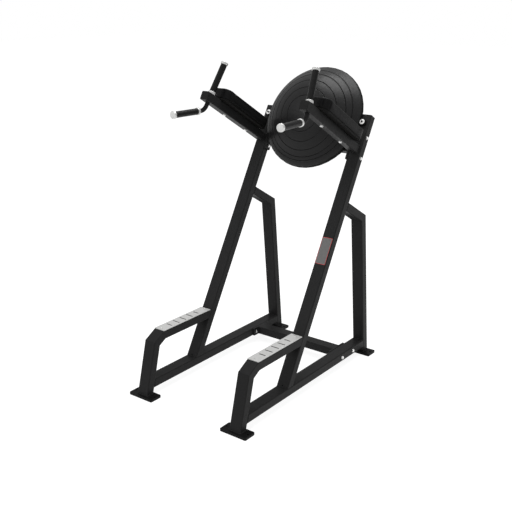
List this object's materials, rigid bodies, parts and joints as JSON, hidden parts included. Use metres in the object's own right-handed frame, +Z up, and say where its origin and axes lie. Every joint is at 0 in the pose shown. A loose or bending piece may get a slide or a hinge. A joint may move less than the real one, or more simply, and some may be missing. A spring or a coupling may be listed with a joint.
{
  "type": "dip and knee raise station",
  "caption": "Free-standing dip and knee raise station: two leaning side frames joined by cross tubes, padded arms with bent handles, a round domed back pad and slotted step treads.",
  "frame": {"origin": "on the floor, at the middle of the overall length and width", "axes": "+Z up, +X to the right side frame, +Y from the step treads towards the rear posts; the user faces -Y"},
  "size_m": [0.832, 1.37, 1.7972],
  "materials": {
    "frame_paint": "dark grey powder coat, satin",
    "black_plastic": "black moulded plastic",
    "tread_aluminium": "brushed, clear anodised",
    "handle_aluminium": "turned, satin anodised",
    "pad_board": "dark painted plywood",
    "pad_vinyl": "black vinyl upholstery, fine grain",
    "grip_rubber": "black rubber sleeve",
    "zinc_steel": "zinc plated"
  },
  "bodies": {
    "root": {"left_base_rail": "frame_paint", "right_base_rail": "frame_paint", "left_front_leg": "frame_paint", "right_front_leg": "frame_paint", "left_step_tube": "frame_paint", "right_step_tube": "frame_paint", "left_upright": "frame_paint", "right_upright": "frame_paint", "left_rear_brace": "frame_paint", "right_rear_brace": "frame_paint", "left_front_foot_plate": "frame_paint", "right_front_foot_plate": "frame_paint", "left_rear_foot_plate": "frame_paint", "right_rear_foot_plate": "frame_paint", "left_arm_tube": "frame_paint", "right_arm_tube": "frame_paint", "left_handle_tube": "frame_paint", "right_handle_tube": "frame_paint", "left_upright_cap": "black_plastic", "right_upright_cap": "black_plastic", "left_arm_end_cap": "black_plastic", "right_arm_end_cap": "black_plastic", "left_step_tread": "tread_aluminium", "right_step_tread": "tread_aluminium", "left_arm_pad_board": "pad_board", "right_arm_pad_board": "pad_board", "left_arm_pad": "pad_vinyl", "right_arm_pad": "pad_vinyl", "left_upper_grip": "grip_rubber", "right_upper_grip": "grip_rubber", "left_lower_grip": "grip_rubber", "right_lower_grip": "grip_rubber", "left_upper_collar": "handle_aluminium", "right_upper_collar": "handle_aluminium", "left_lower_collar": "handle_aluminium", "right_lower_collar": "handle_aluminium", "left_upper_end_cap": "handle_aluminium", "right_upper_end_cap": "handle_aluminium", "left_lower_end_cap": "handle_aluminium", "right_lower_end_cap": "handle_aluminium", "left_dome_bolt": "zinc_steel", "right_dome_bolt": "zinc_steel", "left_dome_washer": "zinc_steel", "right_dome_washer": "zinc_steel", "left_lower_cross_bolt_front": "zinc_steel", "right_lower_cross_bolt_front": "zinc_steel", "left_lower_cross_bolt_rear": "zinc_steel", "right_lower_cross_bolt_rear": "zinc_steel", "left_upper_cross_bolt_bottom": "zinc_steel", "right_upper_cross_bolt_bottom": "zinc_steel", "left_upper_cross_bolt_top": "zinc_steel", "right_upper_cross_bolt_top": "zinc_steel", "left_pad_bolt_front": "zinc_steel", "right_pad_bolt_front": "zinc_steel", "left_pad_bolt_rear": "zinc_steel", "right_pad_bolt_rear": "zinc_steel", "lower_cross_tube": "frame_paint", "upper_cross_tube": "frame_paint", "dome_board": "pad_board", "dome_pad": "pad_vinyl"}
  },
  "joints": []
}
